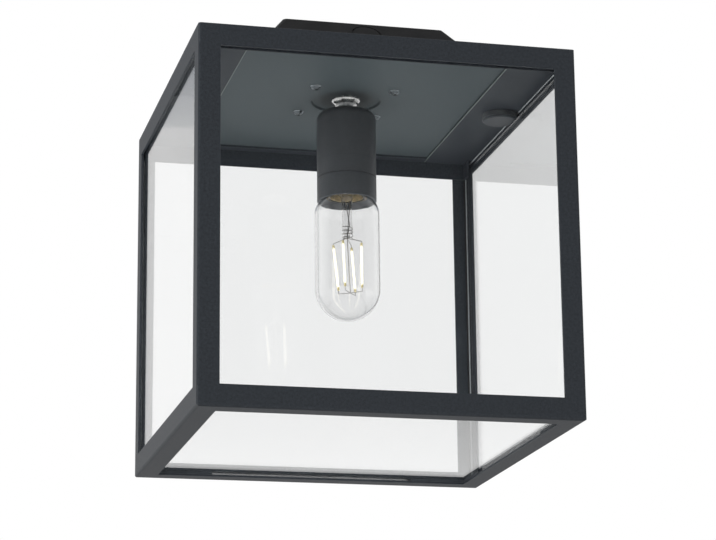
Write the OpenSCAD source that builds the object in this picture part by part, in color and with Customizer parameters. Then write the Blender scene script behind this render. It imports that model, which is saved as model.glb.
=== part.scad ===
// Porch ceiling lantern: a square box of folded metal angle and clear glass that hangs
// under a sloping ceiling pan, with a tubular lamp in an open lampholder inside.
// Millimetres, +Z up, +X right, -Y towards the front. The origin is the centre of the
// pan's ceiling face, so the whole lantern hangs below z = 0.

/* [Lantern body] */
// Width of the glass box across its posts
body_w = 250; // [220:1:300]
// Depth of the glass box across its posts
body_d = 250; // [220:1:300]
// Height of the glass box
body_h = 248; // [215:1:320]
// Visible width of every frame face
face_w = 14.3; // [13:0.1:20]
// Thickness of the frame metal
frame_t = 1.5; // [1:0.1:2]
// Inside radius of the folds in the frame
fold_r = 0.5; // [0.2:0.1:2]
// Width of the strips under the plate along the left and right rails
strip_w = 37; // [30:1:50]
// How far the frame's rim stands above the mounting plate
rim_up = 2; // [0.2:0.1:3]

/* [Glass] */
// Thickness of the four side panes
glass_t = 3; // [2:0.5:5]
// Thickness of the floor pane
floor_glass_t = 4; // [3:0.5:6]
// Clearance round the panes
pane_gap = 0.2; // [0.1:0.05:0.5]
// How far the side panes stand behind the frame faces
pane_set = 0.9; // [0.1:0.1:1.5]

/* [Corner fittings] */
// Length of a floor clip's arm
clip_l = 47; // [30:1:60]
// Height of a floor clip's upstand
clip_h = 3.4; // [2:0.1:5]
// Metal thickness of the floor clips and the top keepers
clip_t = 1.2; // [0.8:0.1:2]
// How far a floor clip shows past the rail that it lies on
clip_show = 0.4; // [0:0.1:1.5]
// Length of a top keeper's legs along the left and right panes
keeper_w = 10.8; // [6:0.1:16]
// Height of a top keeper
keeper_h = 9.8; // [8:0.1:20]

/* [Thumb screws] */
// Diameter of the round head
knob_d = 24.6; // [18:0.2:30]
// Height of the head
knob_h = 5.4; // [5:0.1:8]
// Diameter of the screw
thumb_d = 6; // [5:0.5:8]
// Outer diameter of the threaded insert on the plate
insert_d = 12; // [11:0.5:16]
// Height of the insert above the plate
insert_h = 8; // [5:0.5:12]

/* [Ceiling pan] */
// Height of the pan
pan_h = 35.5; // [32:0.1:60]
// Width of the pan's ceiling face
pan_top_w = 111; // [106:1:130]
// Width of the flange round the base
pan_flange_w = 5; // [3:0.5:8]
// Metal thickness of the pan
pan_t = 1.2; // [0.8:0.1:2]
// Corner radius of the pan
pan_r = 3; // [1:0.5:8]
// Distance between the two ceiling slots
slot_pitch = 80; // [60:1:86]
// End-to-end length of a ceiling slot
slot_l = 14; // [8:1:18]
// Width of a ceiling slot
slot_w = 5; // [4:0.1:6.5]
// Diameter of the cable hole
cable_hole_d = 14; // [12:0.5:20]
// Bore of the cable grommet
grommet_bore = 9; // [6:0.5:10]
// Diameter of the side-entry knockout
knockout_d = 20.5; // [16:0.5:24]
// Distance down the slope from the ceiling face to the knockout's centre
knockout_drop = 12.8; // [12.8:0.1:22]

/* [Mounting plate] */
// Thickness of the plate
plate_t = 1.5; // [1:0.1:2.5]
// Clearance round the plate inside the frame's rim
plate_gap = 0.5; // [0.2:0.1:1.5]
// Diameter of the round recess
recess_d = 48; // [30:1:54]
// Depth of the recess
recess_h = 1.5; // [1:0.1:3]
// Spacing of the four plate screws
screw_pitch = 55; // [52:1:64]
// Diameter of the plate screws
screw_d = 4; // [3:0.5:5]
// Diameter of a plate screw's domed head
screw_head_d = 7.8; // [7:0.1:9]
// Diameter of the pillars that take the plate screws
pillar_d = 8; // [7:0.5:10]

/* [Lampholder] */
// Gap between the plate and the top of the lampholder
holder_drop = 7.9; // [6.5:0.1:30]
// Diameter of the lampholder
holder_d = 40.7; // [39:0.1:46]
// Height of the lampholder's cap
holder_cap_h = 35.7; // [34:0.1:40]
// Height of the lampholder's skirt ring
holder_skirt_h = 28.5; // [27:0.1:31]
// Distance from the cap's lower edge to the ring line round the skirt
skirt_line_drop = 12.1; // [8:0.1:18]
// Radius of the cap's rounded shoulder
holder_shoulder_r = 6; // [3:0.5:8]
// Wall of the cap and skirt
holder_wall = 2.4; // [1.8:0.1:3]
// Diameter of the threaded nipple
nipple_d = 10; // [9:0.5:12]
// Bore of the nipple
nipple_bore = 7.4; // [7:0.1:8]
// Width of the nipple's nuts across flats
nut_af = 15; // [14:0.5:17]
// Thickness of the nuts
nut_h = 3; // [2:0.5:4]
// Diameter of the washer under the lower nut
washer_d = 19.4; // [18:0.2:24]

/* [Lamp] */
// Diameter of the lamp's glass
lamp_d = 44.4; // [40:0.2:52]
// Overall length of the lamp
lamp_l = 111.5; // [108:0.5:140]
// Wall of the lamp's glass
lamp_wall = 1; // [0.6:0.1:1.5]
// Diameter of the screw cap
cap_d = 26; // [25:0.1:26.4]
// Length of the screw cap with its contact
cap_l = 24; // [23:0.5:28]
// Radius of the glass shoulder
lamp_shoulder_r = 14; // [11:0.5:18]
// Number of light filaments
filament_n = 4; // [2:1:6]
// Length of a filament
filament_l = 30; // [24:1:36]
// Diameter of a filament
filament_d = 1.8; // [1.4:0.1:2.4]
// Distance of the filaments' upper ends from the axis
filament_r_top = 9.6; // [6:0.1:12]
// Distance of the filaments' lower ends from the axis
filament_r_low = 7.8; // [5:0.1:12]

/* [Hidden] */
$fn = 96;

// Finishes
coat = "#24272A";
coat_inner = "#3C4246";
clear = [0.80, 0.90, 0.92, 0.30];
zinc = "#B9BEC2";
brass = "#C2A052";
phenolic = "#2B2C2E";

// General clearances and small thicknesses
thread_gap = 0.05;
screw_gap = 0.3;
running_gap = 0.1;
safe = 1;

// Levels of the flat layers, from the ceiling down
plate_top = -pan_h;
plate_low = plate_top - plate_t;
body_top = plate_top + rim_up;
body_low = body_top - body_h;
shelf_top = plate_low;
shelf_low = shelf_top - frame_t;
rail_low = body_top - face_w;
post_low = body_low + face_w;
clip_low = body_low + frame_t;
recess_low = plate_low + recess_h;
recess_top = recess_low + plate_t;

// Plan sizes of the frame
fold_out_r = fold_r + frame_t;
pane_in = frame_t + pane_set + glass_t;
fitting_in = pane_in + pane_gap;

// Thumb screws
knob_gap = 0.3;
knob_low = shelf_low - knob_h;
knob_chamfer = 1;
thumb_x = body_w / 2 - frame_t - knob_gap - knob_d / 2;
thumb_poke = 2;
thumb_top = plate_top + insert_h + thumb_poke;
thumb_hole_d = thumb_d + 2 * screw_gap;

// Panes
pane_knob_gap = 0.6;
pane_low = clip_low + max(pane_gap, fold_r - pane_gap);
pane_h = knob_low - pane_knob_gap - pane_low;
floor_low = clip_low + clip_t;
floor_edge = fitting_in + clip_t + pane_gap;

// Pan walls; the flange just fills the space between the two strips
pan_base_w = body_w - 2 * (strip_w + pan_flange_w);
pan_lean = atan2((pan_base_w - pan_top_w) / 2, pan_h);
pan_wall_in = pan_t / cos(pan_lean);
knockout_groove_w = 0.9;
knockout_groove_h = 0.5;
flange_r = pan_r + pan_flange_w;

// Grommet
grommet_lip = 2;
grommet_lip_h = 1.5;

// Plate screws
screw_head_h = 2.6;
screw_slot_w = 1;
screw_slot_l = 4.2;
screw_slot_h = 1.4;
screw_bite = 12;
pillar_bore_l = 18;

// Lampholder levels
holder_top = plate_low - holder_drop;
cap_low = holder_top - holder_cap_h;
skirt_low = cap_low - holder_skirt_h;
spigot_h = 8;
spigot_r = holder_d / 2 - holder_wall - thread_gap;
core_h = 7;
core_low = cap_low + spigot_h;
core_top = core_low + core_h;
boss_h = 7;
boss_r = nipple_d / 2 + 3;
nipple_up = 7;
nipple_top = recess_top + nipple_up;
nipple_low = holder_top - boss_h;
washer_t = 1;

// Lamp levels
lamp_top = skirt_low + 27.8;
contact_d = 9.5;
contact_h = 1.2;
insulator_h = 3.8;
cap_shell_t = 0.5;
cap_skirt_low = lamp_top - cap_l;
cap_shell_top = lamp_top - contact_h - insulator_h;
shell_t = 0.5;
shell_in_r = cap_d / 2 + running_gap;
shell_low = skirt_low + 5;
shell_flare_h = 1.5;
shell_foot_w = 1;
shell_lip_r = spigot_r - 2.4;
neck_r = cap_d / 2 - cap_shell_t - thread_gap;
neck_l = 8;
lamp_low = lamp_top - lamp_l;
lamp_r = lamp_d / 2;
shoulder_in = lamp_r - lamp_shoulder_r;
shoulder_drop = sqrt(pow(lamp_shoulder_r, 2) - pow(cap_d / 2 - shoulder_in, 2));
shoulder_z = cap_skirt_low - shoulder_drop;
tip_z = lamp_low + lamp_r;
stem_r = 3.4;
stem_flare_r = neck_r - lamp_wall - 0.2;
stem_drop = 52.4;
stem_low = lamp_top - stem_drop;
stem_lip_h = 1;
stem_flare_h = 7;
stem_neck_h = 12;
stem_tip_r = 1.6;
stem_tip_h = 4;
filament_drop = 57.9;
filament_top = lamp_top - filament_drop;
filament_low = filament_top - filament_l;
filament_turn = -27;
wire_d = 0.8;
wire_reach = 3;

// Wiring inside the pan
block_w = 30;
block_d = 17;
block_h = 14;
block_y = 54;
block_front = block_y - block_d / 2;
pole_pitch = 10;
pole_r = 2.2;
pole_z = plate_top + 6;
lead_d = 2.2;
lead_bend_r = 3;
block_grip = 6;
terminal_grip = 4;
lead_turn_z = plate_top + 17;
lead_in_x = 1.7;
terminal_x = 10;
terminal_w = 6;
terminal_h = 6;
clamp_z = core_top + 3.6;
clamp_d = 2.5;
terminal_knee_z = nipple_low - 2;
earth_y = 35;
earth_lead_y = block_front - 1.2 - lead_bend_r;
earth_tag_t = 0.8;
earth_barrel_h = 2.8;

// ---------------------------------------------------------------- shared shapes

// Rectangle with rounded corners, centred on the axis
module rounded_rect(w, d, r) {
    square([w - 2 * r, d], center = true);
    square([w, d - 2 * r], center = true);
    for (sx = [-1, 1], sy = [-1, 1])
        translate([sx * (w / 2 - r), sy * (d / 2 - r)])
            circle(r);
}

// Square with only the corner at the origin rounded
module one_round_corner(size, r) {
    translate([r, 0])
        square([size - r, size]);
    translate([0, r])
        square([size, size - r]);
    translate([r, r])
        circle(r);
}

// Folded angle section: two legs that meet in a bend at the origin
module angle_section() {
    intersection() {
        square(face_w);
        difference() {
            one_round_corner(face_w + safe, fold_out_r);
            translate([frame_t, frame_t])
                one_round_corner(face_w + safe, fold_r);
        }
    }
}

// The box's outer block, which rounds the frame's four upright edges
module body_block() {
    translate([0, 0, body_low])
        linear_extrude(body_h)
            rounded_rect(body_w, body_d, fold_out_r);
}

// Sides are numbered 0 front, 1 right, 2 back and 3 left
function side_half(side) = side % 2 == 0 ? body_d / 2 : body_w / 2;
function side_span(side) = side % 2 == 0 ? body_w : body_d;

// Places a child on a side: its X runs along the side, and its Y goes inwards from the outer face
module on_side(side) {
    rotate([0, 0, 90 * side])
        translate([0, -side_half(side), 0])
            children();
}

// Corners are numbered 0 front left, 1 front right, 2 back right and 3 back left
corner_x = [-1, 1, 1, -1];
corner_y = [-1, -1, 1, 1];

// Places a child at a corner: its X and Y go inwards along the two sides
module at_corner(corner) {
    translate([corner_x[corner] * body_w / 2, corner_y[corner] * body_d / 2, 0])
        rotate([0, 0, 90 * corner])
            children();
}

// Cuts a bar's ends at 45 degrees, over a given depth from the outer face
module mitred(span, depth, low, high) {
    intersection() {
        children();
        translate([0, 0, low])
            linear_extrude(high - low)
                polygon([
                    [-span / 2, 0],
                    [span / 2, 0],
                    [span / 2 - depth, depth],
                    [-span / 2 + depth, depth]
                ]);
    }
}

// Round bar from one point to another
module rod(from, to, d) {
    run = to - from;
    length = norm(run);
    translate(from)
        rotate([0, acos(run[2] / length), atan2(run[1], run[0])])
            cylinder(h = length, d = d);
}

// Quarter bend at a corner point, between a run that comes in along a and one that leaves along b
module knee(at, a, b, r, d) {
    centre = at - a * r + b * r;
    side = cross(-b, a);
    multmatrix([
        [-b[0], a[0], side[0], centre[0]],
        [-b[1], a[1], side[1], centre[1]],
        [-b[2], a[2], side[2], centre[2]],
        [0, 0, 0, 1]
    ])
        rotate_extrude(angle = 90)
            translate([r, 0])
                circle(d = d);
}

// Direction from one point of a route to the next
function heading(points, i) = (points[i + 1] - points[i]) / norm(points[i + 1] - points[i]);

// Insulated lead along a route of square corners, each rounded with the same bend
module lead(points, d, r) {
    last = len(points) - 2;
    for (i = [0 : last])
        rod(
            points[i] + (i == 0 ? 0 : r) * heading(points, i),
            points[i + 1] - (i == last ? 0 : r) * heading(points, i),
            d
        );
    for (i = [1 : last])
        knee(points[i], heading(points, i - 1), heading(points, i), r, d);
}

// Hexagon nut with a plain bore, standing on z = 0
module hex_nut(af, h, bore_d) {
    difference() {
        intersection() {
            cylinder(h = h, d = af / cos(30), $fn = 6);
            cylinder(h = h, r1 = af / 2 + h * 0.9, r2 = af / 2 + 0.1);
        }
        translate([0, 0, -safe])
            cylinder(h = h + 2 * safe, d = bore_d);
    }
}

// Domed head with a cross recess; its flat seat is at z = 0 and its dome hangs down
module dome_head(d, h) {
    dome_r = (pow(d / 2, 2) + pow(h, 2)) / (2 * h);
    difference() {
        intersection() {
            translate([0, 0, dome_r - h])
                sphere(dome_r);
            translate([0, 0, -h - safe])
                cylinder(h = h + safe, d = d);
        }
        for (turn = [0, 90])
            rotate([0, 0, turn])
                translate([-screw_slot_l / 2, -screw_slot_w / 2, -h - safe])
                    cube([screw_slot_l, screw_slot_w, screw_slot_h + safe]);
    }
}

// Repeats a child at the four plate screw positions
module at_plate_screws() {
    for (sx = [-1, 1], sy = [-1, 1])
        translate([sx * screw_pitch / 2, sy * screw_pitch / 2, 0])
            children();
}

// ---------------------------------------------------------------- ceiling pan

// Solid pyramid between two square faces with rounded corners
module pyramid(top_w, top_z, low_w, low_z, r) {
    slice = 0.01;
    hull() {
        translate([0, 0, top_z - slice])
            linear_extrude(slice)
                rounded_rect(top_w, top_w, r, $fn = 32);
        translate([0, 0, low_z])
            linear_extrude(slice)
                rounded_rect(low_w, low_w, r, $fn = 32);
    }
}

// Slot along X through the ceiling face
module ceiling_slot() {
    translate([0, 0, -pan_t - safe])
        linear_extrude(pan_t + 2 * safe)
            union() {
                square([slot_l - slot_w, slot_w], center = true);
                for (sx = [-1, 1])
                    translate([sx * (slot_l - slot_w) / 2, 0])
                        circle(d = slot_w);
            }
}

// Ring groove that marks the knockout on the front slope
module knockout_groove() {
    slope_y = -(pan_top_w / 2 + knockout_drop * sin(pan_lean));
    slope_z = -knockout_drop * cos(pan_lean);
    translate([0, slope_y, slope_z])
        rotate([90 - pan_lean, 0, 0])
            difference() {
                translate([0, 0, -knockout_groove_h])
                    cylinder(h = knockout_groove_h + safe, d = knockout_d);
                translate([0, 0, -knockout_groove_h - safe])
                    cylinder(h = knockout_groove_h + 3 * safe, d = knockout_d - 2 * knockout_groove_w);
            }
}

module ceiling_pan() {
    inner_top_w = pan_top_w + 2 * (pan_t * tan(pan_lean) - pan_wall_in);
    inner_low_w = pan_base_w + 2 * (safe * tan(pan_lean) - pan_wall_in);
    color(coat)
        difference() {
            union() {
                pyramid(pan_top_w, 0, pan_base_w, plate_top, pan_r);
                translate([0, 0, plate_top])
                    linear_extrude(pan_t)
                        rounded_rect(pan_base_w + 2 * pan_flange_w, pan_base_w + 2 * pan_flange_w, flange_r);
            }
            pyramid(inner_top_w, -pan_t, inner_low_w, plate_top - safe, pan_r - 0.4);
            for (sx = [-1, 1])
                translate([sx * slot_pitch / 2, 0, 0])
                    ceiling_slot();
            translate([0, 0, -pan_t - safe])
                cylinder(h = pan_t + 2 * safe, d = cable_hole_d);
            knockout_groove();
        }
}

// Rubber grommet: a sleeve through the cable hole with a lip below the face
module cable_grommet() {
    color("#1A1A1A")
        rotate_extrude()
            difference() {
                union() {
                    translate([0, -pan_t - grommet_lip_h])
                        square([cable_hole_d / 2 - thread_gap, pan_t + grommet_lip_h]);
                    translate([0, -pan_t - grommet_lip_h])
                        square([cable_hole_d / 2 + grommet_lip, grommet_lip_h]);
                }
                translate([0, -pan_t - grommet_lip_h - safe])
                    square([grommet_bore / 2, pan_t + grommet_lip_h + 2 * safe]);
            }
}

// Tapped pillars welded under the ceiling face
module pan_pillars() {
    color(zinc)
        at_plate_screws()
            difference() {
                translate([0, 0, plate_top])
                    cylinder(h = pan_h - pan_t, d = pillar_d);
                translate([0, 0, plate_top - safe])
                    cylinder(h = pillar_bore_l + safe, d = screw_d + 2 * thread_gap);
            }
}

// ---------------------------------------------------------------- mounting plate

module mounting_plate() {
    plate_w = body_w - 2 * (frame_t + plate_gap);
    plate_d = body_d - 2 * (frame_t + plate_gap);
    recess_r = recess_d / 2;
    color(coat_inner)
        difference() {
            union() {
                translate([-plate_w / 2, -plate_d / 2, plate_low])
                    cube([plate_w, plate_d, plate_t]);
                translate([0, 0, plate_low])
                    cylinder(h = recess_h + plate_t, r1 = recess_r + plate_t + recess_h, r2 = recess_r + plate_t / 2);
            }
            translate([0, 0, plate_low - safe])
                cylinder(h = recess_h + safe, r1 = recess_r + safe / 2, r2 = recess_r - recess_h / 2);
            translate([0, 0, plate_low - safe])
                cylinder(h = recess_h + plate_t + 2 * safe, d = nipple_d + 2 * screw_gap);
            at_plate_screws()
                translate([0, 0, plate_low - safe])
                    cylinder(h = plate_t + 2 * safe, d = screw_d + 2 * screw_gap);
            for (sx = [-1, 1])
                translate([sx * thumb_x, 0, plate_low - safe])
                    cylinder(h = plate_t + 2 * safe, d = thumb_hole_d);
        }
}

module plate_screws() {
    color(zinc)
        at_plate_screws() {
            translate([0, 0, plate_low])
                dome_head(screw_head_d, screw_head_h);
            translate([0, 0, plate_low])
                cylinder(h = plate_t + screw_bite, d = screw_d);
        }
}

// Threaded inserts on top of the plate, over the two thumb screws
module thumb_inserts() {
    color(zinc)
        for (sx = [-1, 1])
            translate([sx * thumb_x, 0, plate_top])
                difference() {
                    union() {
                        cylinder(h = insert_h, d = insert_d);
                        cylinder(h = plate_t, d = insert_d + 3);
                    }
                    translate([0, 0, -safe])
                        cylinder(h = insert_h + 2 * safe, d = thumb_d + 2 * thread_gap);
                }
}

// ---------------------------------------------------------------- wiring

module at_poles() {
    for (k = [-1 : 1])
        translate([k * pole_pitch, block_y, 0])
            children();
}

// Three-pole terminal block that stands on the plate
module terminal_block() {
    foot_h = 3;
    color("#E6E3DA")
        difference() {
            union() {
                translate([-block_w / 2, block_y - block_d / 2, plate_top])
                    cube([block_w, block_d, foot_h]);
                at_poles()
                    translate([-pole_pitch / 2 + 0.6, -block_d / 2, plate_top])
                        cube([pole_pitch - 1.2, block_d, block_h]);
            }
            at_poles()
                translate([0, block_d / 2 + safe, pole_z])
                    rotate([90, 0, 0])
                        cylinder(h = block_d + 2 * safe, r = pole_r + 0.8 + thread_gap);
            at_poles()
                for (sy = [-1, 1])
                    translate([0, sy * block_d / 4, pole_z])
                        cylinder(h = block_h, r = pole_r);
            for (sx = [-1, 1])
                translate([sx * pole_pitch / 2, block_y, plate_top - safe])
                    cylinder(h = foot_h + 2 * safe, r = 0.5);
        }
}

// Brass sleeves inside the block, one for each pole
module terminal_sleeves() {
    color(brass)
        at_poles()
            difference() {
                translate([0, block_d / 2 - 1, pole_z])
                    rotate([90, 0, 0])
                        cylinder(h = block_d - 2, r = pole_r + 0.8);
                translate([0, block_d / 2, pole_z])
                    rotate([90, 0, 0])
                        cylinder(h = block_d, r = lead_d / 2 + thread_gap);
                for (sy = [-1, 1])
                    translate([0, sy * block_d / 4, pole_z])
                        cylinder(h = block_h, r = 1.5 + thread_gap);
            }
}

module terminal_screws() {
    color(zinc)
        at_poles()
            for (sy = [-1, 1])
                translate([0, sy * block_d / 4, pole_z + lead_d / 2 + 0.1])
                    difference() {
                        cylinder(h = 4, r = 1.5);
                        translate([-2, -0.3, 3.2])
                            cube([4, 0.6, 1]);
                    }
}

// Two pins that fix the block to the plate
module block_screws() {
    color(zinc)
        for (sx = [-1, 1])
            translate([sx * pole_pitch / 2, block_y, plate_top]) {
                cylinder(h = 3, r = 0.5 - thread_gap);
                translate([0, 0, 3])
                    cylinder(h = 1.2, r = 0.55);
            }
}

// Earth screw with a washer face, on top of the plate
module earth_screw() {
    color(brass)
        translate([0, earth_y, plate_top + earth_tag_t])
            difference() {
                union() {
                    cylinder(h = 0.8, d = 8.6);
                    cylinder(h = 3.2, d = 7);
                }
                translate([-4, -0.5, 2])
                    cube([8, 1, 2]);
            }
}

// Ring tag under the earth screw, with an upturned barrel that grips the earth lead
module earth_tag() {
    color(zinc)
        difference() {
            union() {
                translate([0, earth_y, plate_top])
                    cylinder(h = earth_tag_t, d = 9);
                translate([-2, earth_y, plate_top])
                    cube([4, earth_lead_y - earth_y, earth_tag_t]);
                translate([0, earth_lead_y, plate_top])
                    cylinder(h = earth_barrel_h, d = lead_d + 1.6);
            }
            translate([0, earth_lead_y, plate_top + earth_tag_t])
                cylinder(h = earth_barrel_h, d = lead_d + 2 * thread_gap);
        }
}

// Route of a lamp lead: out of the block, over the nipple, down its bore and out to a terminal
function lamp_lead(side) = [
    [side * pole_pitch, block_front + block_grip, pole_z],
    [side * pole_pitch, 0, pole_z],
    [side * pole_pitch, 0, lead_turn_z],
    [side * lead_in_x, 0, lead_turn_z],
    [side * lead_in_x, 0, terminal_knee_z],
    [side * terminal_x, 0, terminal_knee_z],
    [side * terminal_x, 0, core_top + terminal_h - terminal_grip]
];

module lead_live() {
    color("#6B4226")
        lead(lamp_lead(1), lead_d, lead_bend_r);
}

module lead_neutral() {
    color("#2F5FA8")
        lead(lamp_lead(-1), lead_d, lead_bend_r);
}

module lead_earth() {
    color("#5E9A3A")
        lead([
            [0, block_front + block_grip, pole_z],
            [0, earth_lead_y, pole_z],
            [0, earth_lead_y, plate_top + earth_tag_t]
        ], lead_d, lead_bend_r);
}

// ---------------------------------------------------------------- nipple and lampholder

module nipple() {
    color(zinc)
        translate([0, 0, nipple_low])
            difference() {
                cylinder(h = nipple_top - nipple_low, d = nipple_d);
                translate([0, 0, -safe])
                    cylinder(h = nipple_top - nipple_low + 2 * safe, d = nipple_bore);
            }
}

module nipple_nut_upper() {
    color(zinc)
        translate([0, 0, recess_top])
            hex_nut(nut_af, nut_h, nipple_d + 2 * thread_gap);
}

module nipple_nut_lower() {
    color(zinc)
        translate([0, 0, recess_low - washer_t])
            rotate([180, 0, 0])
                hex_nut(nut_af, nut_h, nipple_d + 2 * thread_gap);
}

module nipple_washer() {
    color(zinc)
        translate([0, 0, recess_low - washer_t])
            difference() {
                cylinder(h = washer_t, d = washer_d);
                translate([0, 0, -safe])
                    cylinder(h = washer_t + 2 * safe, d = nipple_d + 2 * screw_gap);
            }
}

// Half section of the cap's outside, down to a given level
module cap_outline(r, top_z, low_z, shoulder_r) {
    translate([0, low_z])
        square([r, top_z - shoulder_r - low_z]);
    translate([0, low_z])
        square([r - shoulder_r, top_z - low_z]);
    intersection() {
        translate([r - shoulder_r, top_z - shoulder_r])
            circle(shoulder_r);
        translate([0, low_z])
            square([r + safe, top_z - low_z + safe]);
    }
}

// Domed upper shell with a tapped boss for the nipple and a seat for the core
module holder_cap() {
    outer_r = holder_d / 2;
    inner_r = outer_r - holder_wall;
    seat_r = inner_r - 2;
    color(phenolic)
        rotate_extrude()
            difference() {
                cap_outline(outer_r, holder_top, cap_low, holder_shoulder_r);
                difference() {
                    cap_outline(inner_r - 2, holder_top - holder_wall, core_top - safe, holder_shoulder_r - 2);
                    translate([0, nipple_low])
                        square([boss_r, boss_h]);
                }
                translate([0, cap_low - safe])
                    square([inner_r, core_top - cap_low + safe]);
                translate([0, core_top - safe])
                    square([seat_r, 2 * safe]);
                translate([0, nipple_low - safe])
                    square([nipple_d / 2 + thread_gap, boss_h + 2 * safe]);
            }
}

// Lower ring: a spigot that screws up into the cap, and a skirt with a rounded rim and a chamfered mouth
module holder_skirt() {
    outer_r = holder_d / 2;
    inner_r = spigot_r - 2;
    mouth_r = outer_r - 1.05;
    mouth_h = 5;
    line_z = cap_low - skirt_line_drop;
    line_h = 0.5;
    rim_r = 0.5;
    color(phenolic)
        rotate_extrude()
            difference() {
                union() {
                    translate([inner_r, skirt_low + rim_r])
                        square([outer_r - inner_r, cap_low - skirt_low - rim_r]);
                    translate([inner_r, skirt_low])
                        square([outer_r - inner_r - rim_r, rim_r]);
                    translate([outer_r - rim_r, skirt_low + rim_r])
                        circle(rim_r);
                    translate([inner_r, cap_low])
                        square([spigot_r - inner_r, spigot_h]);
                }
                translate([outer_r - line_h, line_z - line_h])
                    square([line_h + safe, line_h]);
                polygon([
                    [inner_r - safe, skirt_low - safe],
                    [mouth_r, skirt_low - safe],
                    [mouth_r, skirt_low],
                    [inner_r, skirt_low + mouth_h],
                    [inner_r - safe, skirt_low + mouth_h]
                ]);
            }
}

// Insulating core that carries the metal parts, clamped between the cap's seat and the spigot
module holder_core() {
    core_r = spigot_r - thread_gap;
    color("#D9D4C6")
        difference() {
            translate([0, 0, core_low])
                cylinder(h = core_h, r = core_r);
            for (sx = [-1, 1])
                translate([sx * terminal_x, 0, core_low - safe])
                    cylinder(h = core_h + 2 * safe, d = 2);
            translate([0, 0, core_top - 2])
                cylinder(h = 2 + safe, r = 5);
        }
}

// Screwed metal shell that grips the lamp's cap, with its lip flared inside the skirt's rim
module holder_shell() {
    out_r = shell_in_r + shell_t;
    color(brass)
        rotate_extrude()
            polygon([
                [shell_in_r, shell_low + shell_flare_h],
                [shell_in_r, core_low],
                [out_r + shell_foot_w, core_low],
                [out_r + shell_foot_w, core_low - shell_t],
                [out_r, core_low - shell_t],
                [out_r, shell_low + shell_flare_h],
                [shell_lip_r, shell_low + shell_t],
                [shell_lip_r, shell_low]
            ]);
}

// Centre contact that the lamp's tip presses on
module holder_contact() {
    color(brass) {
        translate([0, 0, lamp_top + 1])
            cylinder(h = core_low - lamp_top - 1, d = 6);
        translate([0, 0, lamp_top])
            cylinder(h = 1, d = 9);
    }
}

// Brass posts on the core, each with a wire hole from above and a clamp screw from outside
module holder_terminals() {
    color(brass)
        for (sx = [-1, 1])
            difference() {
                translate([sx * terminal_x - terminal_w / 2, -terminal_w / 2, core_top])
                    cube([terminal_w, terminal_w, terminal_h]);
                translate([sx * terminal_x, 0, core_top + 2])
                    cylinder(h = terminal_h, d = lead_d + 2 * thread_gap);
                translate([sx * terminal_x, -terminal_w, clamp_z])
                    rotate([-90, 0, 0])
                        cylinder(h = terminal_w, d = clamp_d + 2 * thread_gap);
            }
}

module holder_terminal_screws() {
    color(zinc)
        for (sx = [-1, 1])
            translate([sx * terminal_x, -lead_d / 2 - 0.1, clamp_z])
                rotate([90, 0, 0]) {
                    cylinder(h = 2.9, d = clamp_d);
                    difference() {
                        translate([0, 0, 1.9])
                            cylinder(h = 1.8, d = 4);
                        translate([-2.5, -0.3, 3])
                            cube([5, 0.6, 1]);
                    }
                }
}

// ---------------------------------------------------------------- glass box frame

// Top rail: an upright face with a shelf inside it, a little below the rim
module top_rail(side) {
    span = side_span(side);
    is_end = side % 2 == 1;
    shelf_w = is_end ? strip_w : face_w;
    shelf_span = is_end ? body_d - 2 * frame_t : body_w - 2 * strip_w;
    color(coat)
        difference() {
            intersection() {
                body_block();
                on_side(side)
                    union() {
                        mitred(span, frame_t, rail_low, body_top)
                            translate([-span / 2, 0, rail_low])
                                cube([span, frame_t, face_w]);
                        translate([-shelf_span / 2, frame_t, shelf_low])
                            cube([shelf_span, shelf_w - frame_t, frame_t]);
                    }
            }
            if (is_end)
                for (sx = [-1, 1])
                    translate([sx * thumb_x, 0, shelf_low - safe])
                        cylinder(h = frame_t + 2 * safe, d = thumb_hole_d);
        }
}

module top_rail_front() { top_rail(0); }
module top_rail_right() { top_rail(1); }
module top_rail_back() { top_rail(2); }
module top_rail_left() { top_rail(3); }

// Corner post of folded angle
module post(corner) {
    color(coat)
        at_corner(corner)
            translate([0, 0, post_low])
                linear_extrude(rail_low - post_low)
                    angle_section();
}

module post_front_left() { post(0); }
module post_front_right() { post(1); }
module post_back_right() { post(2); }
module post_back_left() { post(3); }

// Bottom rail of folded angle, mitred at both ends
module bottom_rail(side) {
    span = side_span(side);
    color(coat)
        intersection() {
            body_block();
            on_side(side)
                mitred(span, face_w, body_low, body_low + face_w)
                    translate([-span / 2, 0, body_low])
                        rotate([90, 0, 90])
                            linear_extrude(span)
                                angle_section();
        }
}

module bottom_rail_front() { bottom_rail(0); }
module bottom_rail_right() { bottom_rail(1); }
module bottom_rail_back() { bottom_rail(2); }
module bottom_rail_left() { bottom_rail(3); }

// ---------------------------------------------------------------- glass

// Side pane behind the frame faces; the left and right panes run past the front and back ones
module pane(side) {
    is_end = side % 2 == 1;
    end_in = is_end ? fold_out_r + pane_gap : pane_in + pane_gap;
    length = side_span(side) - 2 * end_in;
    color(clear)
        on_side(side)
            translate([-length / 2, frame_t + pane_set, pane_low])
                cube([length, glass_t, pane_h]);
}

module pane_front() { pane(0); }
module pane_right() { pane(1); }
module pane_back() { pane(2); }
module pane_left() { pane(3); }

module pane_floor() {
    w = body_w - 2 * floor_edge;
    d = body_d - 2 * floor_edge;
    color(clear)
        translate([-w / 2, -d / 2, floor_low])
            cube([w, d, floor_glass_t]);
}

// Corner clips on the bottom rails: a flat L under the floor pane with upturned outer edges
module floor_clips() {
    arm_w = face_w + clip_show - fitting_in;
    color(coat)
        for (corner = [0 : 3])
            at_corner(corner)
                translate([fitting_in, fitting_in, clip_low]) {
                    cube([clip_l, arm_w, clip_t]);
                    cube([arm_w, clip_l, clip_t]);
                    cube([clip_l, clip_t, clip_h]);
                    cube([clip_t, clip_l, clip_h]);
                }
}

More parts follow.
